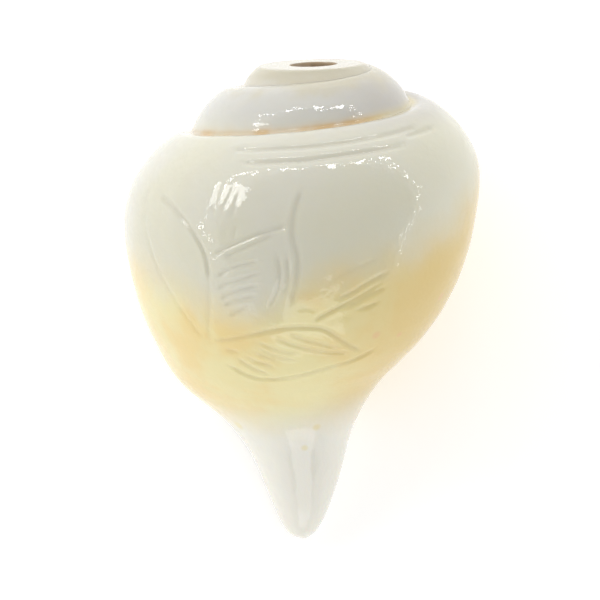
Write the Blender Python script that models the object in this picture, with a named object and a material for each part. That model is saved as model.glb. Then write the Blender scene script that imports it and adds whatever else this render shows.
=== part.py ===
"""Chank shell lying on its opening: a spiral shell with its tip sawn off as a mouthpiece.

The shell grows round an axis. Its outline is given once on the left side and once on the
right, half a turn apart, and every other outline follows from these by steady growth.
The shell's own frame has the start of the spiral at the origin, the axis along -Y towards
the canal, and the back of the shell towards +Z. It is then laid down on its rest points.
"""
import math

import bmesh
import bpy
import numpy as np
from mathutils import Matrix

MM = 0.001

# Growth: each turn is this much larger, and the last one settles to the two outlines
TURN = math.tau
WHORL_GROWTH = 1.74
GROWTH_RATE = math.log(WHORL_GROWTH) / TURN
SETTLING_ANGLE = math.radians(120)
LIP_ANGLE = math.radians(120)          # from the back, over the left side
EARLY_TURNS = 3.5                      # modelled before the last one, past the saw cut
STEPS_PER_TURN = 36

# One whorl from under its suture to the canal's end, in millimetres: radius and depth on
# the left, radius and depth on the right, and how much of the growth the point takes
OUTLINE = np.array((
    (38.0, 26.5, 29.5, 19.5, 1.00),    # ledge under the suture
    (44.0, 31.0, 34.0, 21.5, 1.00),    # top of the shoulder
    (51.0, 38.5, 39.5, 26.5, 1.00),    # shoulder
    (54.5, 48.5, 43.5, 33.0, 1.00),    # upper side
    (54.5, 59.5, 45.5, 40.5, 1.00),    # widest part
    (52.0, 73.5, 43.5, 52.5, 1.00),    # side
    (47.5, 87.5, 40.0, 66.5, 0.90),    # lower side
    (37.5, 100.0, 31.5, 81.5, 0.70),   # base
    (22.5, 108.5, 20.5, 93.0, 0.45),   # neck
    (15.0, 117.5, 16.0, 104.5, 0.25),  # top of the canal
    (11.5, 127.5, 13.5, 117.0, 0.12),  # canal
    (8.0, 137.5, 9.0, 132.0, 0.05),    # lower canal
    (5.0, 144.0, 4.5, 142.5, 0.02),    # rounded end
    (0.0, 145.0, 0.0, 145.0, 0.00),    # tip
))
OUTLINE_END = len(OUTLINE)
SUTURE = 4.60                          # where the next whorl joins, in steps of the outline
UPPER_POINTS = 11                      # along the outline, above the suture's place
LOWER_POINTS = 20
CANAL_BEND = -7.0                      # the canal stands this far to the left of the axis
BEND_TOP = 84.0
BEND_LENGTH = 34.0

# Hollow, with its places in steps of the outline
WALL = 4.4                             # at the lip, thinner towards the early whorls
WALL_GROWTH = 0.8
WALL_NECK = 0.65                       # share of the wall left at the neck
NECK_FROM = 7.0
CALLUS = 0.6                           # glaze over the earlier whorl inside the opening
HOLLOW_TOP = 0.95
HOLLOW_CORNER = SUTURE + 0.35
HOLLOW_BASE = 10.1
BASE_RISE = 0.9                        # the hollow ends this much higher each turn back
HOLLOW_TURNS = 1.85
PAST_LIP = math.radians(8)
WALL_POINTS = 14
PILLAR_POINTS = 22
FOLDS = (5.9, 6.7, 7.5)                # ridges on the pillar
FOLD_HEIGHT = 1.6
FOLD_WIDTH = 0.24
PILLAR_FOOT = 0.70                     # share of the pillar left beside the canal
FOOT_DROP = 0.45                       # its foot starts this far below the earlier hollow
FOOT_LENGTH = 0.9
PILLAR_END = 0.25                      # share of the pillar left where the blow hole meets
MEETING = 0.5                          # turns over which it narrows

# Canal: an open slot along the opening's side
CANAL_ANGLE = LIP_ANGLE + math.radians(7)
CANAL_TOP = 84.0
CANAL_DEEPENS = 24.0                   # length over which it sinks to its full depth
CANAL_BOTTOM = 150.0
CANAL_HALF_WIDTH = 3.2
CANAL_FLOOR = 0.35                     # share of the radius
CANAL_FLARE = 1.3                      # its mouth, as a share of its width
CANAL_REACH = 12.0                     # the cutter stands this far out of the surface
CANAL_STATIONS = 14

# Mouthpiece
RIM_DEPTH = 9.4                        # the saw cut, from the start of the spiral
HOLE_RIM_RADIUS = 6.6
HOLE_END_RADIUS = 5.2
HOLE_END_DEPTH = 27.0
HOLE_ABOVE = 3.0                       # the cutter starts this far above the saw cut
HOLE_SIDES = 28

# How the shell lies
PITCH = math.radians(20.2)             # canal end down
ROLL = math.radians(1.4)               # lip side up
FLAT_SPOT_DEPTH = 0.9                  # ground off under the belly


def outline_at(angles):
    """Radius and depth of every outline point at the given growth angles."""
    angles = np.asarray(angles, float).reshape(-1, 1)
    rate = GROWTH_RATE * OUTLINE[:, 4]
    swing = np.tanh(angles / SETTLING_ANGLE) / math.tanh(math.pi / 2 / SETTLING_ANGLE)

    def grown(left, right):
        left_log = np.log(left + 1e-6)
        right_log = np.log(right + 1e-6)
        lean = (left_log - right_log) / 2 - rate * math.pi / 2
        return np.exp((left_log + right_log) / 2 + rate * angles + lean * swing)

    radius = grown(OUTLINE[:, 0], OUTLINE[:, 2])
    depth = grown(OUTLINE[:, 1], OUTLINE[:, 3])
    return np.stack((radius, depth), axis=-1)


def spline(points, places):
    """Smooth curve near points (..., n, 2), through the first and last, at the given places."""
    before = 2 * points[..., :1, :] - points[..., 1:2, :]
    after = 2 * points[..., -1:, :] - points[..., -2:-1, :]
    points = np.concatenate((before, points, after), axis=-2)
    places = np.asarray(places, float)
    step = np.clip(places.astype(int), 0, points.shape[-2] - 4)
    f = (places - step)[:, None]
    weights = ((1 - f) ** 3, 3 * f**3 - 6 * f**2 + 4, 1 + 3 * f + 3 * f**2 - 3 * f**3, f**3)
    return sum(weight * points[..., step + k, :] for k, weight in enumerate(weights)) / 6


def whorl(angles, places):
    """Outline from the suture down, which starts on the side of the whorl before."""
    angles = np.asarray(angles, float).reshape(-1)
    second_earlier = spline(outline_at(angles - 2 * TURN), [SUTURE - 1])
    earlier = np.concatenate((second_earlier, outline_at(angles - TURN)), axis=1)
    start = spline(earlier, [SUTURE])
    return spline(np.concatenate((start, outline_at(angles)), axis=1), places)


def moved_in(curves, distance):
    """Curves moved towards the axis side by a distance, which may differ along them."""
    along = np.gradient(curves, axis=-2)
    inward = np.stack((-along[..., 1], along[..., 0]), axis=-1)
    inward /= np.linalg.norm(inward, axis=-1, keepdims=True) + 1e-9
    return curves + inward * distance[..., None]


def eased(values, start, length):
    """0 before the start and 1 past the length, with a smooth rise between."""
    share = np.clip((np.asarray(values, float) - start) / length, 0, 1)
    return share * share * (3 - 2 * share)


def in_space(angles, curves):
    """Radius and depth turned into points of the shell's frame, in metres."""
    angles = np.asarray(angles, float).reshape(-1, 1)
    radius, depth = curves[..., 0], curves[..., 1]
    bend = CANAL_BEND * eased(depth, BEND_TOP, BEND_LENGTH)
    return np.stack((bend - radius * np.sin(angles), -depth, radius * np.cos(angles)), -1) * MM


def add_grid(mesh, points, closed=False):
    """Add rows of points as quads, with the last point joined to the first when closed."""
    rows = [[mesh.verts.new(point) for point in row] for row in points]
    for row, following in zip(rows, rows[1:]):
        count = len(row)
        for i in range(count if closed else count - 1):
            j = (i + 1) % count
            mesh.faces.new((row[i], row[j], following[j], following[i]))
    return rows


def finished(mesh, name, collection):
    """Turn a bmesh into an object with its faces outward."""
    bmesh.ops.recalc_face_normals(mesh, faces=mesh.faces)
    data = bpy.data.meshes.new(name)
    mesh.to_mesh(data)
    mesh.free()
    built = bpy.data.objects.new(name, data)
    collection.objects.link(built)
    return built


def build_solid_form(collection):
    """The outside of the shell, closed across the opening and sawn flat at the top."""
    upper = np.linspace(0, SUTURE, UPPER_POINTS)
    lower = np.linspace(SUTURE, OUTLINE_END, LOWER_POINTS)[1:]
    step = TURN / STEPS_PER_TURN
    last_start = LIP_ANGLE - TURN
    last_angles = last_start + step * np.arange(STEPS_PER_TURN + 1)
    early_angles = last_start - step * np.arange(EARLY_TURNS * STEPS_PER_TURN, -1, -1)

    mesh = bmesh.new()
    rows = add_grid(mesh, in_space(last_angles, whorl(last_angles, np.append(upper, lower))))
    add_grid(mesh, in_space(early_angles, whorl(early_angles, upper)))

    # The face across the opening: a fan from the suture, then a strip down to the tip
    inner, outer = rows[0], rows[-1]
    corner = len(upper) - 1
    for i in range(1, corner):
        mesh.faces.new((inner[corner], outer[i], outer[i + 1]))
    for i in range(corner, len(inner) - 1):
        mesh.faces.new((inner[i], outer[i], outer[i + 1], inner[i + 1]))
    bmesh.ops.remove_doubles(mesh, verts=mesh.verts, dist=0.01 * MM)

    everything = mesh.verts[:] + mesh.edges[:] + mesh.faces[:]
    bmesh.ops.bisect_plane(mesh, geom=everything, plane_co=(0, -RIM_DEPTH * MM, 0),
                           plane_no=(0, 1, 0), clear_outer=True, dist=0.001 * MM)
    rim = [edge for edge in mesh.edges if edge.is_boundary]
    bmesh.ops.holes_fill(mesh, edges=rim)
    return finished(mesh, "shell", collection)


def hollow_outline(angle):
    """Closed outline of the hollow: down inside the outer wall, and up along the pillar."""
    turns_back = (LIP_ANGLE - angle) / TURN
    scale = math.exp(-GROWTH_RATE * WALL_GROWTH * turns_back * TURN)

    base = HOLLOW_BASE - BASE_RISE * turns_back
    outer_places = np.linspace(HOLLOW_TOP, base, WALL_POINTS)
    neck = (1 - WALL_NECK) * eased(outer_places, NECK_FROM, base - NECK_FROM)
    outer = moved_in(whorl([angle], outer_places)[0], WALL * scale * (1 - neck))

    foot_top = base - BASE_RISE + FOOT_DROP
    inner_places = np.linspace(foot_top + FOOT_LENGTH, HOLLOW_CORNER, PILLAR_POINTS)
    folds = sum(np.exp(-((inner_places - fold) / FOLD_WIDTH) ** 2) for fold in FOLDS)
    pillar = moved_in(whorl([angle - TURN], inner_places)[0], scale * (CALLUS + FOLD_HEIGHT * folds))
    pillar[:, 0] *= 1 - (1 - PILLAR_FOOT) * eased(inner_places, foot_top, FOOT_LENGTH)

    # The pillar narrows at the early end, where the blow hole comes down
    pillar[:, 0] *= 1 - (1 - PILLAR_END) * eased(turns_back, HOLLOW_TURNS - MEETING, MEETING)
    return np.concatenate((outer, pillar))


def build_hollow(collection):
    """The spiral room inside the shell, which runs out through the opening."""
    count = int(HOLLOW_TURNS * STEPS_PER_TURN) + 1
    angles = np.linspace(LIP_ANGLE - HOLLOW_TURNS * TURN, LIP_ANGLE + PAST_LIP, count)
    mesh = bmesh.new()
    outlines = np.array([hollow_outline(angle) for angle in angles])
    rows = add_grid(mesh, in_space(angles, outlines), closed=True)
    mesh.faces.new(rows[0])
    mesh.faces.new(rows[-1])
    return finished(mesh, "hollow", collection)


def build_canal(collection):
    """The slot of the canal, open at the side of the opening and at the tip."""
    depths = np.linspace(CANAL_TOP, CANAL_BOTTOM, CANAL_STATIONS)
    side = whorl([CANAL_ANGLE - TURN], np.linspace(SUTURE, OUTLINE_END, 100))[0]
    radius = np.interp(depths, side[:, 1], side[:, 0])
    bend = CANAL_BEND * eased(depths, BEND_TOP, BEND_LENGTH)

    across = np.array((math.cos(CANAL_ANGLE), math.sin(CANAL_ANGLE)))
    out = np.array((-math.sin(CANAL_ANGLE), math.cos(CANAL_ANGLE)))
    arc = np.linspace(0, math.pi, 7)
    rows = []
    for depth, size, shift in zip(depths, radius, bend):
        sunk = min((depth - CANAL_TOP) / CANAL_DEEPENS, 1.0)
        middle = (1 - (1 - CANAL_FLOOR) * sunk) * size + CANAL_HALF_WIDTH
        floor = [(-math.cos(a), middle - CANAL_HALF_WIDTH * math.sin(a)) for a in arc]
        mouth = [(CANAL_FLARE, size + CANAL_REACH), (-CANAL_FLARE, size + CANAL_REACH)]
        row = []
        for wide, far in floor + mouth:
            flat = across * wide * CANAL_HALF_WIDTH + out * far
            row.append((flat[0] + shift, -depth, flat[1]))
        rows.append(row)
    mesh = bmesh.new()
    rings = add_grid(mesh, np.array(rows) * MM, closed=True)
    mesh.faces.new(rings[0])
    mesh.faces.new(rings[-1])
    return finished(mesh, "canal", collection)


def build_blow_hole(collection):
    """The tapered hole through the sawn end."""
    length = HOLE_END_DEPTH - RIM_DEPTH + HOLE_ABOVE
    slope = (HOLE_RIM_RADIUS - HOLE_END_RADIUS) / (HOLE_END_DEPTH - RIM_DEPTH)
    mesh = bmesh.new()
    bmesh.ops.create_cone(mesh, cap_ends=True, segments=HOLE_SIDES,
                          radius1=(HOLE_RIM_RADIUS + slope * HOLE_ABOVE) * MM,
                          radius2=HOLE_END_RADIUS * MM, depth=length * MM)
    middle = -(RIM_DEPTH - HOLE_ABOVE + length / 2) * MM
    place = Matrix.Translation((0, middle, 0)) @ Matrix.Rotation(math.radians(90), 4, "X")
    bmesh.ops.transform(mesh, matrix=place, verts=mesh.verts)
    return finished(mesh, "blow_hole", collection)


def cut(target, cutter):
    """Take the cutter's volume out of the target."""
    step = target.modifiers.new(cutter.name, "BOOLEAN")
    step.object = cutter
    step.operation = "DIFFERENCE"
    step.solver = "EXACT"
    cutter.hide_render = True
    cutter.display_type = "WIRE"


def lay_down(target):
    """Turn the shell onto its rest points, grind the flat spot and stand it on the floor."""
    bpy.context.view_layer.update()
    graph = bpy.context.evaluated_depsgraph_get()
    cut_data = bpy.data.meshes.new_from_object(target.evaluated_get(graph))
    target.modifiers.clear()
    target.data = cut_data
    mesh = bmesh.new()
    mesh.from_mesh(cut_data)
    turn = Matrix.Rotation(ROLL, 4, "Y") @ Matrix.Rotation(PITCH, 4, "X")
    bmesh.ops.transform(mesh, matrix=turn, verts=mesh.verts)
    floor = min(vert.co.z for vert in mesh.verts) + FLAT_SPOT_DEPTH * MM
    everything = mesh.verts[:] + mesh.edges[:] + mesh.faces[:]
    bmesh.ops.bisect_plane(mesh, geom=everything, plane_co=(0, 0, floor), plane_no=(0, 0, -1),
                           clear_outer=True, dist=0.001 * MM)
    bmesh.ops.holes_fill(mesh, edges=[edge for edge in mesh.edges if edge.is_boundary])
    low = [min(vert.co[k] for vert in mesh.verts) for k in range(3)]
    high = [max(vert.co[k] for vert in mesh.verts) for k in range(3)]
    middle = Matrix.Translation((-(low[0] + high[0]) / 2, -(low[1] + high[1]) / 2, -low[2]))
    bmesh.ops.transform(mesh, matrix=middle, verts=mesh.verts)
    mesh.to_mesh(target.data)
    mesh.free()


def shell_material():
    """Polished ivory shell."""
    material = bpy.data.materials.new("polished_shell")
    material.use_nodes = True
    surface = material.node_tree.nodes["Principled BSDF"]
    surface.inputs["Base Color"].default_value = (0.74, 0.71, 0.57, 1.0)
    surface.inputs["Roughness"].default_value = 0.22
    surface.inputs["Metallic"].default_value = 0.0
    return material


def main():
    for old in list(bpy.data.objects):
        bpy.data.objects.remove(old)
    parts = bpy.data.collections.new("chank_shell")
    cutters = bpy.data.collections.new("cutters")
    bpy.context.scene.collection.children.link(parts)
    bpy.context.scene.collection.children.link(cutters)

    shell = build_solid_form(parts)
    cut(shell, build_hollow(cutters))
    cut(shell, build_canal(cutters))
    cut(shell, build_blow_hole(cutters))
    lay_down(shell)
    shell.data.materials.clear()
    shell.data.materials.append(shell_material())
    for face in shell.data.polygons:
        face.use_smooth = True


main()
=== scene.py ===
"""Looks of the chank shell: its surface at full resolution, with carving, colours and light.

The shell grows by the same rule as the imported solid. Its own frame has the start of the
spiral at the origin, the axis along -Y towards the canal, and the back towards +Z. Lengths
are in millimetres until a mesh is made, and growth angles count from the back over the left.
"""
import math

import bmesh
import bpy
import numpy as np
from mathutils import Matrix, Vector
from mathutils.kdtree import KDTree


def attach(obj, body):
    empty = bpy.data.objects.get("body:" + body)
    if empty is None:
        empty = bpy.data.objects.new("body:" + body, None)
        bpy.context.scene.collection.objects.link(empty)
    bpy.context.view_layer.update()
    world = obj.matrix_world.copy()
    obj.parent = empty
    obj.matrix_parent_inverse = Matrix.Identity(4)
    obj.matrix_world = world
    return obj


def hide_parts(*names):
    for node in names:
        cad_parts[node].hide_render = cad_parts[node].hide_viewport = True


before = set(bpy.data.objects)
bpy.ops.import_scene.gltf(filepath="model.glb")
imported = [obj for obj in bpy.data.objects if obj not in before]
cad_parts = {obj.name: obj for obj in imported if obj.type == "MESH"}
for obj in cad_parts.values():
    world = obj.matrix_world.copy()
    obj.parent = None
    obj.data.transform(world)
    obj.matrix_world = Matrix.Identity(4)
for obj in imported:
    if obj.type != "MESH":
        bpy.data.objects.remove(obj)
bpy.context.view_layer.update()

MM = 0.001
TURN = math.tau

# Growth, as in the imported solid
WHORL_GROWTH = 1.74
GROWTH_RATE = math.log(WHORL_GROWTH) / TURN
SETTLING_ANGLE = math.radians(120)
LIP_ANGLE = math.radians(120)
OUTLINE = np.array((
    (38.0, 26.5, 29.5, 19.5, 1.00),    # ledge under the suture
    (44.0, 31.0, 34.0, 21.5, 1.00),    # top of the shoulder
    (51.0, 38.5, 39.5, 26.5, 1.00),    # shoulder
    (54.5, 48.5, 43.5, 33.0, 1.00),    # upper side
    (54.5, 59.5, 45.5, 40.5, 1.00),    # widest part
    (52.0, 73.5, 43.5, 52.5, 1.00),    # side
    (47.5, 87.5, 40.0, 66.5, 0.90),    # lower side
    (37.5, 100.0, 31.5, 81.5, 0.70),   # base
    (22.5, 108.5, 20.5, 93.0, 0.45),   # neck
    (15.0, 117.5, 16.0, 104.5, 0.25),  # top of the canal
    (11.5, 127.5, 13.5, 117.0, 0.12),  # canal
    (8.0, 137.5, 9.0, 132.0, 0.05),    # lower canal
    (5.0, 144.0, 4.5, 142.5, 0.02),    # rounded end
    (0.0, 145.0, 0.0, 145.0, 0.00),    # tip
))
OUTLINE_END = len(OUTLINE)
SUTURE = 4.60
CANAL_BEND = -7.0
BEND_TOP = 84.0
BEND_LENGTH = 34.0

# Columns of the surface, one turn up to the lip: growth angle in degrees, and the step from there
COLUMNS = ((-240, 3.6), (-96, 1.5), (-58, 0.8), (-26, 0.52), (62, 1.5), (100, 2.0), (114, 0.75),
           (120, 0.0))
# Rows along the outline: place, and how many from there to the next
ROWS = ((0.0, 9), (0.9, 12), (1.75, 40), (2.95, 26), (SUTURE, 112), (8.2, 20), (10.2, 20),
        (OUTLINE_END, 0))
EARLY_TURNS = (3, 2, 1)                # how far back the early whorls are, in turns
EARLY_SKIP = 3                         # the early whorls take every third row
COARSE_BEFORE = 2                      # whorls further back than this take fewer columns too
COARSE_SKIP = 3
MERGE_DISTANCE = 0.01

# Rounded edges
LIP_ROUND = math.radians(4.5)
LIP_OUTSIDE = 1.6
LIP_OUTSIDE_STARTS = (0.5, 0.6)        # place along the outline, and length to come in over
LIP_OUTSIDE_ENDS = (9.2, 1.2)
LIP_INSIDE = 1.7
LIP_INSIDE_ENDS = (9.0, 1.0)
LIP_STEPS = 9
RIM_ROUND = 0.5
RIM_STEPS = (1.0, 0.62, 0.3, 0.1, 0.0)  # cuts through the rounding of the rim, lowest first
SAW_INSET = 0.36
SAW_SNAP = 0.03                        # points this near the saw's plane count as on it
INSET = 0.19                           # moves the whole surface in, inside the solid's box
TIP_FADE = 4.0                         # length at the canal's tip over which nothing moves

# Carving: growth angle in degrees and place along the outline, for each point of a stroke
LEAF_EDGES = (
    ((57, 3.45), (48, 3.80), (41, 4.35), (37.5, 4.80), (35.5, 5.15), (36, 5.60)),
    ((33, 5.05), (27, 4.90), (23, 4.80), (19, 4.70), (15, 4.65), (9, 4.55)),
    ((39, 6.85), (33, 6.85), (25, 6.80), (18, 6.75), (9.5, 6.75), (6, 6.80), (1.5, 6.85),
     (-2, 6.95), (-6, 7.20), (-11.5, 7.45), (-15.5, 7.60)),
    ((38.5, 7.40), (35, 7.55), (31, 7.75), (25.5, 7.85), (18.5, 7.90), (11, 7.90), (3.5, 7.85),
     (-4.5, 7.80), (-10, 7.80), (-16.5, 7.75), (-22.5, 7.65)),
    ((3, 6.70), (-3.5, 6.55), (-10, 6.45), (-15, 6.35), (-20, 6.25)),
)
STEM = ((5, 3.60), (7, 4.10), (8, 4.60), (8, 4.90), (7, 5.20), (6.5, 5.45), (7.5, 5.85), (9, 6.10),
        (10, 6.30))
DASHES = (
    ((32, 3.05), (33, 3.50), (33, 4.05)),
    ((27, 3.10), (28, 3.55), (30, 4.00)),
    ((25, 3.35), (26, 3.80), (27, 4.25)),
    ((25, 4.35), (26.5, 4.75)),
)
VEINS = (
    ((30, 5.15), (22, 4.95), (13, 4.75)),
    ((33, 5.55), (28.5, 5.40), (24, 5.35), (18, 5.30)),
    ((34, 5.80), (29.5, 5.70), (25, 5.65), (18, 5.55)),
    ((33.5, 6.00), (26, 5.85), (19, 5.80)),
    ((33, 6.15), (26.5, 6.05), (20, 6.00)),
    ((31.5, 6.35), (23, 6.20)),
    ((13, 5.20), (12, 5.65), (14, 6.05), (17.5, 6.30)),
    ((10, 5.25), (9.5, 5.80), (12, 6.10)),
    ((-5, 6.35), (-10, 6.30), (-15, 6.15), (-22, 6.05)),
    ((-7.5, 6.55), (-12.5, 6.50), (-16, 6.40), (-22, 6.35)),
    ((-12, 6.65), (-16, 6.65), (-20, 6.60)),
    ((37, 7.05), (31, 7.15)),
    ((33.5, 7.25), (30, 7.45), (27, 7.60), (22, 7.75)),
    ((29, 7.25), (26.5, 7.40), (23, 7.45), (19, 7.60)),
    ((26, 7.15), (22, 7.30), (18, 7.45)),
    ((24, 7.05), (22, 7.20), (16, 7.40), (10, 7.50)),
    ((24, 6.95), (19.5, 7.10), (15.5, 7.25), (9, 7.35)),
    ((17, 6.90), (12, 7.10), (8, 7.20), (3, 7.35), (-4, 7.48), (-11, 7.56)),
    ((12, 6.85), (7.5, 7.05), (3, 7.15), (-3.5, 7.35), (-7, 7.42)),
)
FAINT_STROKES = (
    ((36, 5.60), (38, 6.25), (42.5, 6.90)),
    ((65.5, 3.15), (64.5, 3.80), (61.5, 4.65), (56.5, 5.45), (50.5, 6.15), (44, 6.80)),
    ((-3, 5.95), (-11, 5.80), (-19, 5.70)),
    ((9, 6.40), (4.5, 6.40), (1, 6.55)),
)
GROOVES = (
    ((33, 1.90), (25, 2.00), (14, 2.05), (5, 2.10), (-9, 2.15), (-21, 2.15), (-36, 2.15), (-46, 2.10)),
    ((27, 2.50), (13, 2.60), (4.5, 2.65), (-4.5, 2.65), (-12.5, 2.65), (-23, 2.70), (-36, 2.70)),
    ((-36, 2.40), (-44, 2.40), (-56, 2.40)),
)
# Depth, half width, and height of the bank on the right of each kind of stroke
EDGE_CUT = (0.46, 0.62, 0.12)
STEM_CUT = (0.40, 0.85, 0.20)
DASH_CUT = (0.14, 0.75, 0.0)
VEIN_CUT = (0.38, 0.66, 0.0)
FAINT_CUT = (0.17, 0.80, 0.0)
GROOVE_CUT = (0.42, 0.90, 0.0)
BANK_WIDTH = 1.1
BANK_OFFSET = 1.4                      # middle of the bank, in half widths of the stroke
STROKE_TAPER = 2.4                     # length over which a stroke fades at each end
STROKE_END = 0.2                       # share of its depth that is left there
STROKE_REACH = 3                       # how far a stroke acts, in half widths with its bank
STROKE_STEP = 0.25
STROKE_CURVE = 40                      # points of a stroke before they are evened out
STROKE_LEAST = 8
FULL_DEPTH = 0.5                       # a cut this deep gets all of the carving's dirt
CARVED_HEIGHT = 8.0                    # only points this far to the back are carved
CARVED_DEPTH = 15.0                    # and only this far down the axis

# Seam between the whorls
SEAM_DEPTH = 0.18
SEAM_WIDTH = 0.55
SEAM_STEP = 0.5                        # degrees between the points that the seam is found by
SEAM_LEAN = 0.25
SEAM_UNEVEN = 0.35
SEAM_WAVES = (5, 9, 14)                # wavelengths of its unevenness
SEAM_SEED = 3
FILLED_SEAM = math.radians(-300)       # earlier than this the seam is worn smooth
FILLED_OVER = math.radians(35)
SEAM_FILL = 1.7
SEAM_FILL_WIDTH = 4.2
BODY_FILL = 0.75
BODY_FILL_WIDTH = 2.4
WAVE_HEIGHT = 0.045                    # unevenness that polishing by hand leaves
WAVES = (9, 11, 14, 18, 23)            # its wavelengths
WAVE_SEED = 1
WAVE_BEND = 1.6
WAVE_BEND_LENGTH = 2.3

# Colours, and where they lie: lengths in millimetres along the shell
IVORY_COOL = (0.680, 0.665, 0.565)
IVORY_WARM = (0.680, 0.660, 0.520)
CANAL_PALE = (0.840, 0.820, 0.730)
STRAW = (0.820, 0.725, 0.345)
OCHRE = (0.830, 0.640, 0.245)
OCHRE_RIGHT = (0.700, 0.505, 0.150)
SPOT_YELLOW = (0.800, 0.660, 0.240)
SPOT_RED = (0.780, 0.440, 0.220)
EARLY_GREY = (0.590, 0.580, 0.540)
# mauve-grey tint and painted shade, for the right side of the early whorls
EARLY_RIGHT_TINT_AND_SHADE = (0.490, 0.465, 0.440)
BEIGE = (0.570, 0.525, 0.385)
STAIN = (0.600, 0.400, 0.170)
STAIN_RIGHT = (0.640, 0.540, 0.260)
# painted shade: dark brown on the inside near the sawn top, in the blow hole
HOLE_PAINTED_SHADE = (0.420, 0.320, 0.210)
GROOVE_DIRT = (0.480, 0.430, 0.300)
INSIDE = (0.640, 0.580, 0.480)
STAIN_ABOVE = 0.5                      # how far above the seam its stain is strongest
STAIN_WIDTH = 1.3
STAIN_EARLY = 0.15                     # strength on the early whorls
STAIN_LEAST = 0.50                     # strength where it is weakest
DIRT_STRENGTH = 0.30
# Small spots: place in the shell's own frame, and radius
YELLOW_SPOTS = ((-2.5, -108.3, 16.6, 1.2), (-6.1, -114.5, 14.6, 1.0), (-24.6, -109.1, 8.5, 1.6))
RED_SPOTS = ((14.2, -78.4, 36.9, 1.3), (20.5, -79.6, 31.6, 1.0), (32.3, -71.2, 24.0, 1.4))
SPOT_EDGE = (1.4, 0.4)                 # in radii, from where a spot starts to where it is full
SPOT_STRENGTH = 0.45
BAND_START = 50.0
BAND_END = 106.0
BAND_SOFT = 9.0
BAND_LEFT = 9.0                        # how much deeper the band starts on the left side
BAND_BACK = 13.5
DIP_MIDDLE = 0.36                      # sine of the angle where the pale field reaches lowest
DIP_REACH = 0.42
DIP_SIDE = (0.0, 0.6)                  # cosine of the angle, from none of the dip to all of it
DIP_DEPTH = 4.0
BAND_STRENGTH = 0.92
BAND_CLOUDS = 16.0                     # how far the noises move the band's edges
BAND_STREAKS = 8.0
BAND_END_CLOUDS = 14.0
# Depths, or sines of the growth angle, between which one colour gives way to the next
CANAL_PALES = (88.0, 108.0)
OCHRE_SINES = (0.2, -0.9)
EARLY_DEPTHS = (27.0, 19.0)
# sines over which the early whorls go over to the tint with painted shade on their right
EARLY_TINT_AND_SHADE_SINES = (0.1, -0.8)
EARLY_STRENGTH = 0.8
BEIGE_DEPTHS = (17.0, 12.0)
BEIGE_STRENGTH = 0.8
BEIGE_UNEVEN = 9.0
STAIN_SINES = (-0.3, -0.8)
# depths over which the painted shade in the blow hole comes in
HOLE_PAINTED_SHADE_DEPTHS = (14.0, 10.5)
# Noises: scale per millimetre, detail and distortion
TONE_NOISE = (0.028, 3.0)
CLOUD_NOISE = (0.03, 2.0, 0.4)
STREAK_NOISE = (0.09, 3.0, 0.2)
MOTTLE_NOISE = (0.06, 3.0, 0.3)
BEIGE_NOISE = (0.12, 3.0, 0.3)
STAIN_NOISE = (0.10, 3.0)
SMEAR_NOISE = (0.09, 4.0)
GRAIN_NOISE = (0.4, 2.0)
TONE_RANGE = (0.38, 0.62)              # values of a noise that become 0 and 1
MOTTLE_RANGE = (0.36, 0.64)

# Polish
ROUGHNESS = 0.015
SMEAR_ROUGHNESS = 0.08                 # the most that each of these adds
CARVED_ROUGHNESS = 0.30
INSIDE_ROUGHNESS = 0.20
GRAIN_HEIGHT = 0.0001                  # metres

# Hollow
WALL = 4.4
WALL_GROWTH = 0.8
WALL_NECK = 0.65
NECK_FROM = 7.0
CALLUS = 0.6
HOLLOW_TOP = 0.95
HOLLOW_CORNER = SUTURE + 0.35
HOLLOW_BASE = 10.1
BASE_RISE = 0.9
HOLLOW_TURNS = 1.85
PAST_LIP = math.radians(8)
WALL_POINTS = 26
PILLAR_POINTS = 40
FOLDS = (5.9, 6.7, 7.5)
FOLD_HEIGHT = 1.6
FOLD_WIDTH = 0.24
PILLAR_FOOT = 0.70
FOOT_DROP = 0.45
FOOT_LENGTH = 0.9
PILLAR_END = 0.25
MEETING = 0.5
HOLLOW_RINGS = 84

# Canal slot
CANAL_ANGLE = LIP_ANGLE + math.radians(7)
CANAL_TOP = 84.0
CANAL_DEEPENS = 24.0
CANAL_BOTTOM = 150.0
CANAL_HALF_WIDTH = 3.2
CANAL_FLOOR = 0.35
CANAL_FLARE = 1.3
CANAL_REACH = 12.0
CANAL_STATIONS = 60
CANAL_ARC = 13                         # points across the canal's floor
CANAL_SIDE = 100                       # points that the canal's side is measured at

# Mouthpiece
RIM_DEPTH = 9.4
SAW_DEPTH = RIM_DEPTH + SAW_INSET
FLAT_DEPTH = SAW_DEPTH + 0.1           # what is above this and faces up is the sawn flat
HOLE_RIM_RADIUS = 6.6
HOLE_END_RADIUS = 5.2
HOLE_END_DEPTH = 27.0
HOLE_ROUND = 0.7
HOLE_ROUND_STEPS = 7
HOLE_START = 3.0                       # how far above the rim the hole's cutter starts
HOLE_SIDES = 96

# How the shell lies: its own frame to the row frame
PITCH = math.radians(20.2)
ROLL = math.radians(1.4)
START_AT = Vector((5.22, 70.05, 52.73)) * MM
POSE = Matrix.Translation(START_AT) @ Matrix.Rotation(ROLL, 4, "Y") @ Matrix.Rotation(PITCH, 4, "X")
REST_HEIGHT = 0.00002                  # metres from the floor to the ground rest spot

# Camera, turned from the shell's own frame. Its lengths are millimetres in the picture's plane.
CAMERA_TILT = math.radians(11.5)
CAMERA_LEAN = math.radians(2.03)
CAMERA_DISTANCE = 646.25               # from the picture's plane
CAMERA_PLANE = -4.0                    # how far that plane is from the start of the spiral
PICTURE_WIDTH = 165.0
PICTURE_PIXELS = 600
PICTURE_SHIFT = -3                     # in pixels
AXIS_POINT = 19.2                      # how far down the picture a point of the axis is
PICTURE_MIDDLE = (-3.2, -55.0)         # from that point
SENSOR = 36.0

# Light: directions are in the camera's axes, and lengths in metres
LIGHT_MIDDLE = Vector((0, 0, 0.045))
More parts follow.
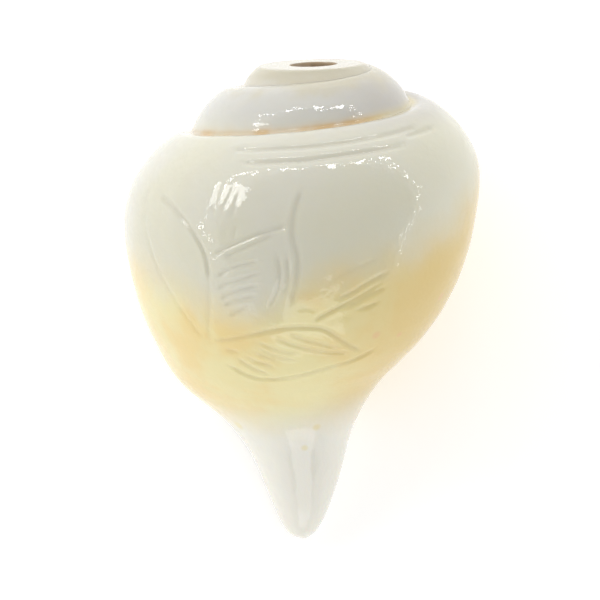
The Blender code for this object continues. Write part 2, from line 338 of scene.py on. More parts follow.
# Ring of small lamps round the camera: direction, and size as a share of LAMP_RADIUS
RING = ((-0.85, -0.39, 0.37, 0.8), (-0.88, 0.00, 0.40, 0.9), (-0.87, 0.31, 0.38, 1.0),
        (-0.62, 0.71, 0.35, 1.4), (-0.32, 0.81, 0.49, 1.7), (0.01, 0.84, 0.55, 1.8),
        (0.48, 0.77, 0.45, 1.6), (0.78, 0.55, 0.38, 1.3), (0.92, 0.25, 0.32, 0.9),
        (0.95, -0.13, 0.30, 0.7), (0.85, -0.45, 0.27, 0.6))
RING_LAMPS = 70
RING_REACH = 0.8
RING_SCATTER = 0.03                    # how unevenly the lamps sit, as a share of the distance
RING_SEED = 5
LAMP_RADIUS = 0.011
LAMP_SIZES = (0.5, 1.3)                # smallest and largest, as shares of the size above
LAMP_POWER = 0.05
ROOF_DARK = 0.50                       # light from the roof, as a share of the light elsewhere
ROOF_MIDDLE = (0.08, -0.12, 1.0)
ROOF_EDGE = (0.38, 0.50)               # cosine of the angle from the roof's middle
SKY = 1.14
FLOOR_GLOW = 0.34
FLOOR_REACH = 3.0
# Soft lamps: direction, power and size. The first shows the carving.
SOFT_LAMPS = (((-0.75, 0.40, 0.52), 1.4, 0.35), ((0.10, -0.92, 0.38), 1.5, 0.70))
SOFT_REACH = 1.1


def outline_at(angles):
    """Radius and depth of every outline point at the given growth angles."""
    angles = np.asarray(angles, float).reshape(-1, 1)
    rate = GROWTH_RATE * OUTLINE[:, 4]
    swing = np.tanh(angles / SETTLING_ANGLE) / math.tanh(math.pi / 2 / SETTLING_ANGLE)

    def grown(left, right):
        left_log = np.log(left + 1e-6)
        right_log = np.log(right + 1e-6)
        lean = (left_log - right_log) / 2 - rate * math.pi / 2
        return np.exp((left_log + right_log) / 2 + rate * angles + lean * swing)

    radius = grown(OUTLINE[:, 0], OUTLINE[:, 2])
    depth = grown(OUTLINE[:, 1], OUTLINE[:, 3])
    return np.stack((radius, depth), axis=-1)


def spline(points, places):
    """Smooth curve near points (..., n, 2), through the first and last, at the given places."""
    before = 2 * points[..., :1, :] - points[..., 1:2, :]
    after = 2 * points[..., -1:, :] - points[..., -2:-1, :]
    points = np.concatenate((before, points, after), axis=-2)
    places = np.asarray(places, float)
    step = np.clip(places.astype(int), 0, points.shape[-2] - 4)
    f = (places - step)[:, None]
    weights = ((1 - f) ** 3, 3 * f**3 - 6 * f**2 + 4, 1 + 3 * f + 3 * f**2 - 3 * f**3, f**3)
    return sum(weight * points[..., step + k, :] for k, weight in enumerate(weights)) / 6


def whorl(angles, places):
    """Outline from the suture down, which starts on the side of the whorl before."""
    angles = np.asarray(angles, float).reshape(-1)
    second_earlier = spline(outline_at(angles - 2 * TURN), [SUTURE - 1])
    earlier = np.concatenate((second_earlier, outline_at(angles - TURN)), axis=1)
    start = spline(earlier, [SUTURE])
    return spline(np.concatenate((start, outline_at(angles)), axis=1), places)


def moved_in(curves, distance):
    """Curves moved towards the axis side by a distance, which may differ along them."""
    along = np.gradient(curves, axis=-2)
    inward = np.stack((-along[..., 1], along[..., 0]), axis=-1)
    inward /= np.linalg.norm(inward, axis=-1, keepdims=True) + 1e-9
    return curves + inward * distance[..., None]


def eased(values, start, length):
    """0 before the start and 1 past the length, with a smooth rise between."""
    share = np.clip((np.asarray(values, float) - start) / length, 0, 1)
    return share * share * (3 - 2 * share)


def quarter_round(share):
    """0 at share 0 and 1 at share 1, along a quarter of a circle."""
    return 1 - np.sqrt(1 - np.clip(share, 0, 1) ** 2)


def in_space(angles, curves):
    """Radius and depth turned into points of the shell's frame, in millimetres."""
    angles = np.asarray(angles, float).reshape(-1, 1)
    radius, depth = curves[..., 0], curves[..., 1]
    bend = CANAL_BEND * eased(depth, BEND_TOP, BEND_LENGTH)
    return np.stack((bend - radius * np.sin(angles), -depth, radius * np.cos(angles)), -1)


def stepped_columns():
    """Growth angles of the last turn, from one turn before the lip to the lip."""
    runs = []
    for (start, step), (end, _) in zip(COLUMNS, COLUMNS[1:]):
        runs.append(np.linspace(start, end, round((end - start) / step), endpoint=False))
    return np.radians(np.append(np.concatenate(runs), COLUMNS[-1][0]))


def stepped_rows():
    """Places along the outline, and how many of them lie above the suture's place."""
    runs = [np.linspace(start, end, count, endpoint=False)
            for (start, count), (end, _) in zip(ROWS, ROWS[1:])]
    above = sum(count for start, count in ROWS if start < SUTURE)
    return np.append(np.concatenate(runs), OUTLINE_END), above


def outside_points(angles, places):
    """The outside surface, rolled in at the lip."""
    curves = whorl(angles, places)
    roll = quarter_round((angles - LIP_ANGLE + LIP_ROUND) / LIP_ROUND)[:, None]
    where = eased(places, *LIP_OUTSIDE_STARTS) * (1 - eased(places, *LIP_OUTSIDE_ENDS))
    return in_space(angles, moved_in(curves, LIP_OUTSIDE * roll * where))


def add_grid(mesh, points, closed=False):
    """Add rows of points as quads, with the last point joined to the first when closed."""
    rows = [[mesh.verts.new(point) for point in row] for row in points]
    for row, following in zip(rows, rows[1:]):
        count = len(row)
        for i in range(count if closed else count - 1):
            j = (i + 1) % count
            mesh.faces.new((row[i], row[j], following[j], following[i]))
    return rows


def object_from(mesh, name, material_index=0):
    """Turn a bmesh in millimetres into an object in metres with its faces outward."""
    bmesh.ops.recalc_face_normals(mesh, faces=mesh.faces)
    for face in mesh.faces:
        face.material_index = material_index
    data = bpy.data.meshes.new(name)
    mesh.to_mesh(data)
    mesh.free()
    data.transform(Matrix.Scale(MM, 4))
    built = bpy.data.objects.new(name, data)
    bpy.context.scene.collection.objects.link(built)
    return built


def build_outside():
    """The whole outside, closed across the opening and sawn flat at the top."""
    columns = stepped_columns()
    places, corner = stepped_rows()
    mesh = bmesh.new()
    rows = add_grid(mesh, outside_points(columns, places))

    # Early whorls take fewer rows, and meet the last turn in faces with more corners
    early = np.concatenate([columns[:-1:COARSE_SKIP if back > COARSE_BEFORE else 1] - TURN * back
                            for back in EARLY_TURNS])
    early_places = places[:corner + 1:EARLY_SKIP]
    early_rows = add_grid(mesh, in_space(early, whorl(early, early_places)))
    last = early_rows[-1]
    for i in range(len(last) - 1):
        fine = rows[0][i * EARLY_SKIP:(i + 1) * EARLY_SKIP + 1]
        mesh.faces.new((last[i], last[i + 1], *reversed(fine)))

    # The face across the opening: a fan from the suture, then a strip down to the tip
    inner, outer = rows[0], rows[-1]
    for i in range(1, corner):
        mesh.faces.new((inner[corner], outer[i], outer[i + 1]))
    for i in range(corner, len(inner) - 1):
        mesh.faces.new((inner[i], outer[i], outer[i + 1], inner[i + 1]))
    bmesh.ops.remove_doubles(mesh, verts=mesh.verts, dist=MERGE_DISTANCE)
    add_relief(mesh)
    saw(mesh)
    return mesh


def add_relief(mesh):
    """Carve the surface, fill its seam and leave the unevenness of handwork."""
    bmesh.ops.recalc_face_normals(mesh, faces=mesh.faces)
    mesh.normal_update()
    points = np.array([vert.co for vert in mesh.verts])
    normals = np.array([vert.normal for vert in mesh.verts])
    if (normals * points)[:, [0, 2]].sum() < 0:
        normals = -normals
    outward, _ = relief(points, normals)
    for vert, place in zip(mesh.verts, points + normals * outward[:, None]):
        vert.co = place


def saw(mesh):
    """Cut the top off flat, with a rounded edge."""
    for share in RIM_STEPS:
        everything = mesh.verts[:] + mesh.edges[:] + mesh.faces[:]
        bmesh.ops.bisect_plane(mesh, geom=everything, plane_no=(0, 1, 0), dist=SAW_SNAP,
                               plane_co=(0, -SAW_DEPTH - share * RIM_ROUND, 0),
                               clear_outer=share == 0)
    for vert in mesh.verts:
        share = (SAW_DEPTH + RIM_ROUND + vert.co.y) / RIM_ROUND
        if share > 0:
            radius = math.hypot(vert.co.x, vert.co.z)
            smaller = 1 - RIM_ROUND * float(quarter_round(share)) / radius
            vert.co.x *= smaller
            vert.co.z *= smaller
        if share > 0.8:
            vert.co.y = min(vert.co.y, -SAW_DEPTH)
    bmesh.ops.holes_fill(mesh, edges=[edge for edge in mesh.edges if edge.is_boundary])


def hollow_outline(angle):
    """Closed outline of the hollow: down inside the outer wall, and up along the pillar."""
    turns_back = (LIP_ANGLE - angle) / TURN
    scale = math.exp(-GROWTH_RATE * WALL_GROWTH * turns_back * TURN)
    base = HOLLOW_BASE - BASE_RISE * turns_back
    outer_places = np.linspace(HOLLOW_TOP, base, WALL_POINTS)
    neck = (1 - WALL_NECK) * eased(outer_places, NECK_FROM, base - NECK_FROM)
    roll = LIP_INSIDE * quarter_round((angle - LIP_ANGLE + LIP_ROUND) / LIP_ROUND)
    wall = WALL * scale * (1 - neck) - roll * (1 - eased(outer_places, *LIP_INSIDE_ENDS))
    outer = moved_in(whorl([angle], outer_places)[0], wall)

    foot_top = base - BASE_RISE + FOOT_DROP
    inner_places = np.linspace(foot_top + FOOT_LENGTH, HOLLOW_CORNER, PILLAR_POINTS)
    folds = sum(np.exp(-((inner_places - fold) / FOLD_WIDTH) ** 2) for fold in FOLDS)
    pillar = moved_in(whorl([angle - TURN], inner_places)[0], scale * (CALLUS + FOLD_HEIGHT * folds))
    pillar[:, 0] *= 1 - (1 - PILLAR_FOOT) * eased(inner_places, foot_top, FOOT_LENGTH)
    pillar[:, 0] *= 1 - (1 - PILLAR_END) * eased(turns_back, HOLLOW_TURNS - MEETING, MEETING)
    return np.concatenate((outer, pillar))


def build_hollow():
    """The spiral room inside the shell, which runs out through the opening."""
    inside = np.linspace(LIP_ANGLE - HOLLOW_TURNS * TURN, LIP_ANGLE - LIP_ROUND, HOLLOW_RINGS)
    rounding = np.linspace(LIP_ANGLE - LIP_ROUND, LIP_ANGLE, LIP_STEPS)[1:]
    angles = np.concatenate((inside, rounding, [LIP_ANGLE + PAST_LIP / 2, LIP_ANGLE + PAST_LIP]))
    mesh = bmesh.new()
    outlines = np.array([hollow_outline(angle) for angle in angles])
    rows = add_grid(mesh, in_space(angles, outlines), closed=True)
    mesh.faces.new(rows[0])
    mesh.faces.new(rows[-1])
    return object_from(mesh, "hollow", 1)


def build_canal():
    """The slot of the canal, with its edges rounded over."""
    depths = np.linspace(CANAL_TOP, CANAL_BOTTOM, CANAL_STATIONS)
    side = whorl([CANAL_ANGLE - TURN], np.linspace(SUTURE, OUTLINE_END, CANAL_SIDE))[0]
    radius = np.interp(depths, side[:, 1], side[:, 0])
    bend = CANAL_BEND * eased(depths, BEND_TOP, BEND_LENGTH)
    across = np.array((math.cos(CANAL_ANGLE), math.sin(CANAL_ANGLE)))
    out = np.array((-math.sin(CANAL_ANGLE), math.cos(CANAL_ANGLE)))
    arc = np.linspace(0, math.pi, CANAL_ARC)
    rows = []
    for depth, size, shift in zip(depths, radius, bend):
        sunk = min((depth - CANAL_TOP) / CANAL_DEEPENS, 1.0)
        middle = (1 - (1 - CANAL_FLOOR) * sunk) * size + CANAL_HALF_WIDTH
        floor = [(-math.cos(a), middle - CANAL_HALF_WIDTH * math.sin(a)) for a in arc]
        mouth = [(CANAL_FLARE, size + CANAL_REACH), (-CANAL_FLARE, size + CANAL_REACH)]
        row = []
        for wide, far in floor + mouth:
            flat = across * wide * CANAL_HALF_WIDTH + out * far
            row.append((flat[0] + shift, -depth, flat[1]))
        rows.append(row)
    mesh = bmesh.new()
    rings = add_grid(mesh, np.array(rows), closed=True)
    mesh.faces.new(rings[0])
    mesh.faces.new(rings[-1])
    return object_from(mesh, "canal", 1)


def build_blow_hole():
    """The tapered hole through the sawn end, wider at its rounded mouth."""
    rounded = RIM_DEPTH + HOLE_ROUND * np.linspace(0, 1, HOLE_ROUND_STEPS)
    depths = np.concatenate(([RIM_DEPTH - HOLE_START], rounded, [HOLE_END_DEPTH]))
    share = np.clip((depths - RIM_DEPTH) / (HOLE_END_DEPTH - RIM_DEPTH), 0, 1)
    radii = HOLE_RIM_RADIUS + (HOLE_END_RADIUS - HOLE_RIM_RADIUS) * share
    radii += HOLE_ROUND * quarter_round(1 - (depths - RIM_DEPTH) / HOLE_ROUND)
    turns = np.linspace(0, TURN, HOLE_SIDES, endpoint=False)
    points = [[(r * math.cos(a), -d, r * math.sin(a)) for a in turns]
              for r, d in zip(radii, depths)]
    mesh = bmesh.new()
    rings = add_grid(mesh, np.array(points), closed=True)
    mesh.faces.new(rings[0])
    mesh.faces.new(rings[-1])
    return object_from(mesh, "blow_hole", 1)


def cut_away(target, cutters):
    """Take the cutters out of the target and keep the result as its mesh."""
    for cutter in cutters:
        step = target.modifiers.new(cutter.name, "BOOLEAN")
        step.object = cutter
        step.operation = "DIFFERENCE"
        step.solver = "EXACT"
    bpy.context.view_layer.update()
    graph = bpy.context.evaluated_depsgraph_get()
    cut_data = bpy.data.meshes.new_from_object(target.evaluated_get(graph))
    target.modifiers.clear()
    target.data = cut_data
    for cutter in cutters:
        bpy.data.objects.remove(cutter)


def flatten_under(target):
    """Grind the rest spot flat where the floor is."""
    back = POSE.inverted()
    mesh = bmesh.new()
    mesh.from_mesh(target.data)
    everything = mesh.verts[:] + mesh.edges[:] + mesh.faces[:]
    bmesh.ops.bisect_plane(mesh, geom=everything, plane_co=back @ Vector((0, 0, REST_HEIGHT)),
                           plane_no=back.to_3x3() @ Vector((0, 0, -1)),
                           clear_outer=True, dist=1e-6)
    bmesh.ops.holes_fill(mesh, edges=[edge for edge in mesh.edges if edge.is_boundary])
    mesh.to_mesh(target.data)
    mesh.free()


def read_points(data):
    """A mesh's vertices as an array in millimetres."""
    points = np.empty(len(data.vertices) * 3, np.float32)
    data.vertices.foreach_get("co", points)
    return points.reshape(-1, 3).astype(float) / MM


def read_normals(data):
    """A mesh's vertex normals as an array."""
    normals = np.empty(len(data.vertices) * 3, np.float32)
    data.vertex_normals.foreach_get("vector", normals)
    return normals.reshape(-1, 3).astype(float)


def waves(points, lengths, seed):
    """Smooth unevenness about 0, from bent plane waves in fixed directions."""
    random = np.random.default_rng(seed)
    total = np.zeros(len(points))
    for length in lengths:
        directions = random.normal(size=(2, 3))
        directions /= np.linalg.norm(directions, axis=1, keepdims=True)
        phase = random.uniform(0, TURN, 2)
        slow = np.sin(points @ directions[1] * TURN / (WAVE_BEND_LENGTH * length) + phase[1])
        total += np.sin(points @ directions[0] * TURN / length + phase[0] + WAVE_BEND * slow)
    return total / math.sqrt(len(lengths))


def stroke_line(stroke):
    """Even points along a stroke on the surface."""
    marks = np.array(stroke, float)
    smooth = spline(marks, np.linspace(0, len(marks) - 1, STROKE_CURVE))
    angles = np.radians(smooth[:, 0])
    curves = np.stack([whorl([angle], [place])[0, 0] for angle, place in zip(angles, smooth[:, 1])])
    line = in_space(angles, curves[:, None, :])[:, 0]
    length = np.concatenate(([0], np.cumsum(np.linalg.norm(np.diff(line, axis=0), axis=1))))
    even = np.linspace(0, length[-1], max(int(length[-1] / STROKE_STEP), STROKE_LEAST))
    return np.stack([np.interp(even, length, line[:, k]) for k in range(3)], axis=-1)


def carve(points, normals, strokes, cut, outward):
    """Add one kind of stroke to the outward moves. Returns how deep each point is cut, 0 to 1."""
    depth, width, bank = cut
    cut_share = np.zeros(len(points))
    for stroke in strokes:
        line = stroke_line(stroke)
        reach = STROKE_REACH * (width + BANK_WIDTH)
        near = np.all((points > line.min(0) - reach) & (points < line.max(0) + reach), axis=1)
        index = np.flatnonzero(near)
        if not len(index):
            continue
        apart = points[index, None, :] - line[None]
        squared = (apart ** 2).sum(-1)
        nearest = squared.argmin(1)
        distance = np.sqrt(squared[np.arange(len(index)), nearest])
        along = np.gradient(line, axis=0)[nearest]
        to_right = np.cross(along, normals[index])
        to_right /= np.linalg.norm(to_right, axis=1, keepdims=True)
        side = (apart[np.arange(len(index)), nearest] * to_right).sum(-1)
        from_end = np.minimum(nearest, len(line) - 1 - nearest) * STROKE_STEP
        taper = min(STROKE_TAPER, len(line) * STROKE_STEP / 3)
        fade = eased(from_end, 0, taper) * (1 - STROKE_END) + STROKE_END
        fade *= eased(-distance, -reach, width)
        bottom = np.exp(-(distance / width) ** 2)
        raised = np.exp(-((side - BANK_OFFSET * width) / BANK_WIDTH) ** 2)
        raised *= np.exp(-np.maximum(distance ** 2 - side ** 2, 0) / BANK_WIDTH ** 2)
        outward[index] += fade * (bank * raised - depth * bottom)
        cut_share[index] = np.maximum(cut_share[index], fade * bottom * depth / FULL_DEPTH)
    return cut_share


def nearest_seam(points):
    """Distance of each point from the nearest seam, positive below it, and the seam's angle."""
    angles = np.radians(np.arange(-360 * max(EARLY_TURNS), COLUMNS[-1][0], SEAM_STEP))
    line = in_space(angles, whorl(angles, [0.0]))[:, 0]
    tree = KDTree(len(line))
    for i, place in enumerate(line):
        tree.insert(place, i)
    tree.balance()
    found = [tree.find(point) for point in points]
    distance = np.array([item[2] for item in found])
    index = [item[1] for item in found]
    wider = np.hypot(points[:, 0], points[:, 2]) - np.hypot(line[index, 0], line[index, 2])
    below = line[index, 1] - points[:, 1] + SEAM_LEAN * wider
    return distance * np.sign(below), angles[index]


def relief(points, normals):
    """How far each point of the outside moves outward, and how deep it is carved."""
    outward = np.zeros(len(points))
    carved = np.zeros(len(points))
    on_back = np.flatnonzero((points[:, 2] > CARVED_HEIGHT) & (points[:, 1] < -CARVED_DEPTH))
    moves = outward[on_back]
    for strokes, cut in ((LEAF_EDGES, EDGE_CUT), ((STEM,), STEM_CUT), (DASHES, DASH_CUT),
                         (VEINS, VEIN_CUT), (FAINT_STROKES, FAINT_CUT), (GROOVES, GROOVE_CUT)):
        deep = carve(points[on_back], normals[on_back], strokes, cut, moves)
        carved[on_back] = np.maximum(carved[on_back], deep)
    outward[on_back] = moves

    seam, seam_angle = nearest_seam(points)
    worn = 1 - eased(seam_angle, FILLED_SEAM, FILLED_OVER)
    filled = BODY_FILL + (SEAM_FILL - BODY_FILL) * worn
    fill_width = BODY_FILL_WIDTH + (SEAM_FILL_WIDTH - BODY_FILL_WIDTH) * worn
    uneven = 1 + SEAM_UNEVEN * waves(points, SEAM_WAVES, SEAM_SEED)
    outward -= SEAM_DEPTH * (1 - worn) * uneven * np.exp(-(seam / SEAM_WIDTH) ** 2)
    outward += filled * np.clip(1 - np.abs(seam) / fill_width, 0, 1) ** 2
    outward += WAVE_HEIGHT * (waves(points, WAVES, WAVE_SEED) - 1)
    tip_distance = OUTLINE[-1, 1] + points[:, 1]
    return (outward - INSET) * np.clip(tip_distance / TIP_FADE, 0, 1), carved


def build_shell():
    """The finished shell as one mesh in the row frame."""
    shell = object_from(build_outside(), "chank_shell")
    cut_away(shell, [build_hollow(), build_canal(), build_blow_hole()])
    flatten_under(shell)
    shell.data.shade_smooth()
    for face in shell.data.polygons:
        # The sawn flat has long triangles, which would show if they were shaded smooth
        if face.normal.y > 0.999 and face.center.y > -FLAT_DEPTH * MM:
            face.use_smooth = False
    add_marks(shell.data)
    shell.data.transform(POSE)
    return shell


def add_marks(data):
    """Keep, for the material, where each point lies on the shell.

    shell_place holds the point in the shell's own frame, in millimetres. shell_growth holds
    the sine and cosine of its growth angle, and its depth. shell_marks holds how near it is
    to the stain along the seam, how deep it is carved, and 1 where it is inside.
    """
    points, normals = read_points(data), read_normals(data)
    slots = np.empty(len(data.polygons), np.int32)
    data.polygons.foreach_get("material_index", slots)
    inside = np.zeros(len(points))
    count = np.zeros(len(points))
    for face, slot in zip(data.polygons, slots):
        for vert in face.vertices:
            inside[vert] += slot
            count[vert] += 1
    inside /= np.maximum(count, 1)
    inside[points[:, 1] > -FLAT_DEPTH] = 0
    _, carved = relief(points, normals)
    carved *= inside < 0.01
    bend = CANAL_BEND * eased(-points[:, 1], BEND_TOP, BEND_LENGTH)
    radius = np.hypot(points[:, 0] - bend, points[:, 2]) + 1e-6
    growth = np.stack(((bend - points[:, 0]) / radius, points[:, 2] / radius, -points[:, 1]), -1)
    seam, seam_angle = nearest_seam(points)
    stained = eased(seam_angle, FILLED_SEAM, FILLED_OVER) * (1 - STAIN_EARLY) + STAIN_EARLY
    stained *= np.exp(-((seam + STAIN_ABOVE) / STAIN_WIDTH) ** 2)
    marks = np.stack((stained, carved, inside), -1)
    for name, values in (("shell_place", points), ("shell_growth", growth), ("shell_marks", marks)):
        layer = data.attributes.new(name, "FLOAT_VECTOR", "POINT")
        layer.data.foreach_set("vector", values.astype(np.float32).ravel())


def add_node(tree, kind, links=None, values=None, **settings):
    """Add a shader node, link its inputs to sockets and set the others."""
    node = tree.nodes.new(kind)
    for name, value in settings.items():
        setattr(node, name, value)
    for name, value in (values or {}).items():
        node.inputs[name].default_value = value
    for name, socket in (links or {}).items():
        tree.links.new(socket, node.inputs[name])
    return node


def calculate(tree, operation, first, second):
    """A Math node's result, where each side is a socket or a number."""
    node = tree.nodes.new("ShaderNodeMath")
    node.operation = operation
    for i, side in enumerate((first, second)):
        if isinstance(side, (int, float)):
            node.inputs[i].default_value = side
        else:
            tree.links.new(side, node.inputs[i])
    return node.outputs[0]


def rising(tree, value, start, end):
    """0 where the value is at the start and 1 at the end, eased between."""
    node = add_node(tree, "ShaderNodeMapRange", {"Value": value}, interpolation_type="SMOOTHSTEP",
                    values={"From Min": start, "From Max": end})
    return node.outputs["Result"]


def noise(tree, place, scale, detail, warp=0.0):
    """Noise between about 0.3 and 0.7 over places in millimetres."""
    node = add_node(tree, "ShaderNodeTexNoise", {"Vector": place},
                    {"Scale": scale, "Detail": detail, "Distortion": warp})
    return node.outputs["Fac"]


def blend(tree, share, under, over):
    """Mix a colour over another, each a socket or a colour."""
    node = tree.nodes.new("ShaderNodeMix")
    node.data_type = "RGBA"
    tree.links.new(share, node.inputs["Factor"])
    for index, colour in ((6, under), (7, over)):
        if isinstance(colour, tuple):
            node.inputs[index].default_value = (*colour, 1)
        else:
            tree.links.new(colour, node.inputs[index])
    return node.outputs[2]


def attribute(tree, name):
    """A kept attribute: its vector and its three parts."""
    vector = add_node(tree, "ShaderNodeAttribute", attribute_name=name).outputs["Vector"]
    parts = add_node(tree, "ShaderNodeSeparateXYZ", {0: vector})
    return vector, parts.outputs[0], parts.outputs[1], parts.outputs[2]


def scaled(tree, value, factor):
    """A value times a number."""
    return calculate(tree, "MULTIPLY", value, factor)


def band_share(tree, place, growth):
    """How strong the ochre band is: it starts higher on the right side than on the back."""
    sine, cosine, depth = growth
    cloud = calculate(tree, "SUBTRACT", noise(tree, place, *CLOUD_NOISE), 0.5)
    streak = calculate(tree, "SUBTRACT", noise(tree, place, *STREAK_NOISE), 0.5)
    start = calculate(tree, "ADD", scaled(tree, sine, BAND_LEFT), scaled(tree, cosine, BAND_BACK))
    off_dip = calculate(tree, "ABSOLUTE", calculate(tree, "SUBTRACT", sine, DIP_MIDDLE), 0)
    dip = calculate(tree, "SUBTRACT", 1.0, rising(tree, off_dip, 0.0, DIP_REACH))
    dip = calculate(tree, "MULTIPLY", dip, rising(tree, cosine, *DIP_SIDE))
    start = calculate(tree, "ADD", start, scaled(tree, dip, DIP_DEPTH))
    moved = calculate(tree, "SUBTRACT", depth, start)
    moved = calculate(tree, "ADD", moved, scaled(tree, cloud, BAND_CLOUDS))
    moved = calculate(tree, "ADD", moved, scaled(tree, streak, BAND_STREAKS))
    top = rising(tree, moved, BAND_START - BAND_SOFT, BAND_START + BAND_SOFT)
    lower = calculate(tree, "ADD", depth, scaled(tree, cloud, BAND_END_CLOUDS))
    bottom = rising(tree, lower, BAND_END + BAND_SOFT, BAND_END - BAND_SOFT)
    return calculate(tree, "MULTIPLY", top, bottom)


def shell_colour(tree, place, growth, marks):
    """Ivory, with the ochre band, the stained seam, the greyer early whorls with painted shade on
    their right side, and painted shade in the blow hole.
    """
    sine, _, depth = growth
    stain, carved, inside = marks
    tone = rising(tree, noise(tree, place, *TONE_NOISE), *TONE_RANGE)
    colour = blend(tree, tone, IVORY_COOL, IVORY_WARM)
    colour = blend(tree, rising(tree, depth, *CANAL_PALES), colour, CANAL_PALE)

    mottle = rising(tree, noise(tree, place, *MOTTLE_NOISE), *MOTTLE_RANGE)
    ochre = blend(tree, mottle, STRAW, OCHRE)
    ochre = blend(tree, rising(tree, sine, *OCHRE_SINES), ochre, OCHRE_RIGHT)
    colour = blend(tree, scaled(tree, band_share(tree, place, growth), BAND_STRENGTH), colour, ochre)

    # Early whorls: greyer, and on their right side a mauve-grey tint with painted shade
    early = blend(tree, rising(tree, sine, *EARLY_TINT_AND_SHADE_SINES), EARLY_GREY, EARLY_RIGHT_TINT_AND_SHADE)
    share = scaled(tree, rising(tree, depth, *EARLY_DEPTHS), EARLY_STRENGTH)
    colour = blend(tree, share, colour, early)
    worn = calculate(tree, "SUBTRACT", noise(tree, place, *BEIGE_NOISE), 0.5)
    worn = calculate(tree, "ADD", depth, scaled(tree, worn, BEIGE_UNEVEN))
    share = scaled(tree, rising(tree, worn, *BEIGE_DEPTHS), BEIGE_STRENGTH)
    colour = blend(tree, share, colour, BEIGE)

    for spots, spot_colour in ((YELLOW_SPOTS, SPOT_YELLOW), (RED_SPOTS, SPOT_RED)):
        for *middle, radius in spots:
            distance = add_node(tree, "ShaderNodeVectorMath", {0: place}, {1: middle},
                                operation="DISTANCE").outputs["Value"]
            near = rising(tree, distance, radius * SPOT_EDGE[0], radius * SPOT_EDGE[1])
            colour = blend(tree, scaled(tree, near, SPOT_STRENGTH), colour, spot_colour)

    # Stain that keeps to the seam, stronger in places
    patchy = rising(tree, noise(tree, place, *STAIN_NOISE), *TONE_RANGE)
    strength = calculate(tree, "ADD", scaled(tree, patchy, 1 - STAIN_LEAST), STAIN_LEAST)
    stain_colour = blend(tree, rising(tree, sine, *STAIN_SINES), STAIN, STAIN_RIGHT)
    colour = blend(tree, calculate(tree, "MULTIPLY", stain, strength), colour, stain_colour)

    colour = blend(tree, scaled(tree, carved, DIRT_STRENGTH), colour, GROOVE_DIRT)
    # Inside colour, with painted shade in dark brown near the sawn top where the blow hole is
    inner = blend(tree, rising(tree, depth, *HOLE_PAINTED_SHADE_DEPTHS), INSIDE, HOLE_PAINTED_SHADE)
    return blend(tree, inside, colour, inner)


def shell_material():
    """Polished shell: coloured by its place on the shell, translucent and glossy."""
    material = bpy.data.materials.new("polished_shell")
    material.use_nodes = True
    tree = material.node_tree
    surface = tree.nodes["Principled BSDF"]
    place, *_ = attribute(tree, "shell_place")
    _, *growth = attribute(tree, "shell_growth")
    _, *marks = attribute(tree, "shell_marks")
    colour = shell_colour(tree, place, growth, marks)
    tree.links.new(colour, surface.inputs["Base Color"])

    smears = noise(tree, place, *SMEAR_NOISE)
    rough = calculate(tree, "ADD", scaled(tree, smears, SMEAR_ROUGHNESS), ROUGHNESS)
    rough = calculate(tree, "ADD", rough, scaled(tree, marks[1], CARVED_ROUGHNESS))
    rough = calculate(tree, "ADD", rough, scaled(tree, marks[2], INSIDE_ROUGHNESS))
    tree.links.new(rough, surface.inputs["Roughness"])

    grain = noise(tree, place, *GRAIN_NOISE)
    bump = add_node(tree, "ShaderNodeBump", {"Height": grain},
                    {"Strength": 1.0, "Distance": GRAIN_HEIGHT})
    tree.links.new(bump.outputs[0], surface.inputs["Normal"])
    surface.inputs["IOR"].default_value = 1.52
    surface.inputs["Specular IOR Level"].default_value = 0.8
    surface.inputs["Subsurface Weight"].default_value = 0.2
    surface.inputs["Subsurface Radius"].default_value = (1.0, 0.75, 0.45)
    surface.inputs["Subsurface Scale"].default_value = 0.004
    return material


def build_floor():
    """Plain pale floor, which glows a little so that the shadows stay soft."""
    mesh = bmesh.new()
    bmesh.ops.create_grid(mesh, x_segments=1, y_segments=1, size=FLOOR_REACH)
    data = bpy.data.meshes.new("floor")
    mesh.to_mesh(data)
    mesh.free()
    floor = bpy.data.objects.new("floor", data)
    bpy.context.scene.collection.objects.link(floor)
    material = bpy.data.materials.new("pale_floor")
    material.use_nodes = True
    surface = material.node_tree.nodes["Principled BSDF"]
    surface.inputs["Base Color"].default_value = (0.92, 0.92, 0.92, 1)
    surface.inputs["Roughness"].default_value = 0.9
    surface.inputs["Emission Color"].default_value = (1, 1, 1, 1)
    surface.inputs["Emission Strength"].default_value = FLOOR_GLOW
    data.materials.append(material)


def build_camera():
    """Camera at the photo's angle, placed from where the shell is in the picture."""
    turn = Matrix.Rotation(CAMERA_TILT, 4, "X") @ Matrix.Rotation(CAMERA_LEAN, 4, "Z")
    along_axis = -AXIS_POINT / math.cos(CAMERA_TILT)
    anchor = turn @ Vector((0, along_axis, 0))
    seen_from = Vector((anchor.x + PICTURE_MIDDLE[0], anchor.y + PICTURE_MIDDLE[1],
                        CAMERA_DISTANCE + CAMERA_PLANE))
    place = turn.inverted() @ seen_from
    data = bpy.data.cameras.new("camera")
    data.sensor_width = SENSOR
    data.lens = SENSOR * CAMERA_DISTANCE / PICTURE_WIDTH
    data.shift_x = PICTURE_SHIFT / PICTURE_PIXELS
    data.clip_start = 0.01
    data.clip_end = 20
    camera = bpy.data.objects.new("camera", data)
    camera.matrix_world = POSE @ Matrix.Translation(place * MM) @ turn.inverted()
    bpy.context.scene.collection.objects.link(camera)
    bpy.context.scene.camera = camera
    return camera


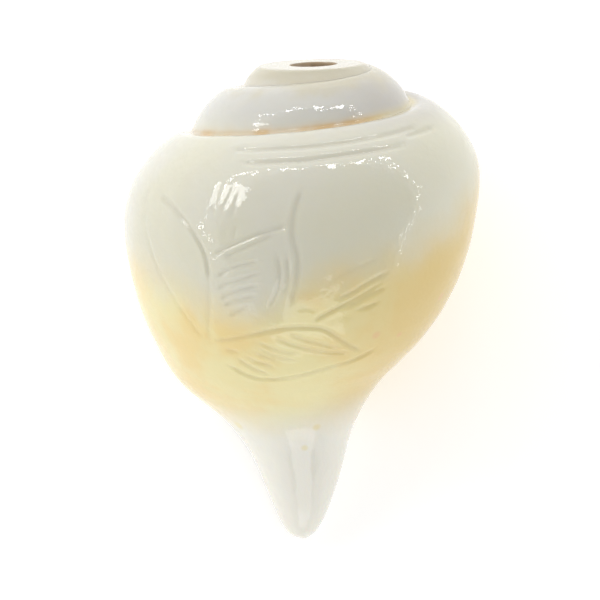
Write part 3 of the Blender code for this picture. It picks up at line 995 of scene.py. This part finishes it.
def build_ring(camera):
    """Small lamps scattered along the ring, as their reflections sparkle in the polish."""
    marks = np.array(RING)
    length = np.concatenate(([0], np.cumsum(np.linalg.norm(np.diff(marks[:, :3], axis=0), axis=1))))
    turn = camera.matrix_world.to_3x3()
    random = np.random.default_rng(RING_SEED)
    for along in np.linspace(0, length[-1], RING_LAMPS):
        x, y, z, size = (np.interp(along, length, marks[:, k]) for k in range(4))
        direction = np.array((x, y, z)) / math.sqrt(x * x + y * y + z * z)
        direction += random.normal(size=3) * RING_SCATTER
        data = bpy.data.lights.new("ring_lamp", "POINT")
        size = float(size * random.uniform(*LAMP_SIZES))
        data.energy = LAMP_POWER * size * size
        data.shadow_soft_size = LAMP_RADIUS * size
        lamp = bpy.data.objects.new("ring_lamp", data)
        lamp.location = LIGHT_MIDDLE + turn @ Vector(direction).normalized() * RING_REACH
        lamp.visible_camera = False
        bpy.context.scene.collection.objects.link(lamp)


def build_soft_lamps(camera):
    """Soft lamps that face the shell."""
    for place, power, size in SOFT_LAMPS:
        data = bpy.data.lights.new("soft_lamp", "AREA")
        data.energy = power
        data.size = size
        lamp = bpy.data.objects.new("soft_lamp", data)
        direction = camera.matrix_world.to_3x3() @ Vector(place).normalized()
        lamp.location = LIGHT_MIDDLE + direction * SOFT_REACH
        lamp.rotation_mode = "QUATERNION"
        lamp.rotation_quaternion = direction.to_track_quat("Z", "Y")
        lamp.visible_camera = False
        bpy.context.scene.collection.objects.link(lamp)


def build_sky(camera):
    """Even white light all round, and less from the camera's side."""
    world = bpy.data.worlds.new("studio")
    world.use_nodes = True
    tree = world.node_tree
    direction = add_node(tree, "ShaderNodeTexCoord").outputs["Generated"]
    axis = camera.matrix_world.to_3x3() @ Vector(ROOF_MIDDLE).normalized()
    up = add_node(tree, "ShaderNodeVectorMath", {0: direction}, {1: axis}, operation="DOT_PRODUCT")
    roof = rising(tree, up.outputs["Value"], *ROOF_EDGE)
    strength = calculate(tree, "SUBTRACT", SKY, scaled(tree, roof, SKY * (1 - ROOF_DARK)))
    tree.links.new(strength, tree.nodes["Background"].inputs["Strength"])
    tree.nodes["Background"].inputs["Color"].default_value = (1, 1, 1, 1)
    bpy.context.scene.world = world


def main():
    """Build the shell with its surface, the floor, the camera and the lights."""
    shell = build_shell()
    shell.data.materials.clear()
    shell.data.materials.append(shell_material())
    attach(shell, "root")
    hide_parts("shell")
    build_floor()
    camera = build_camera()
    build_ring(camera)
    build_soft_lamps(camera)
    build_sky(camera)
    bpy.context.scene.view_settings.view_transform = "Standard"


main()
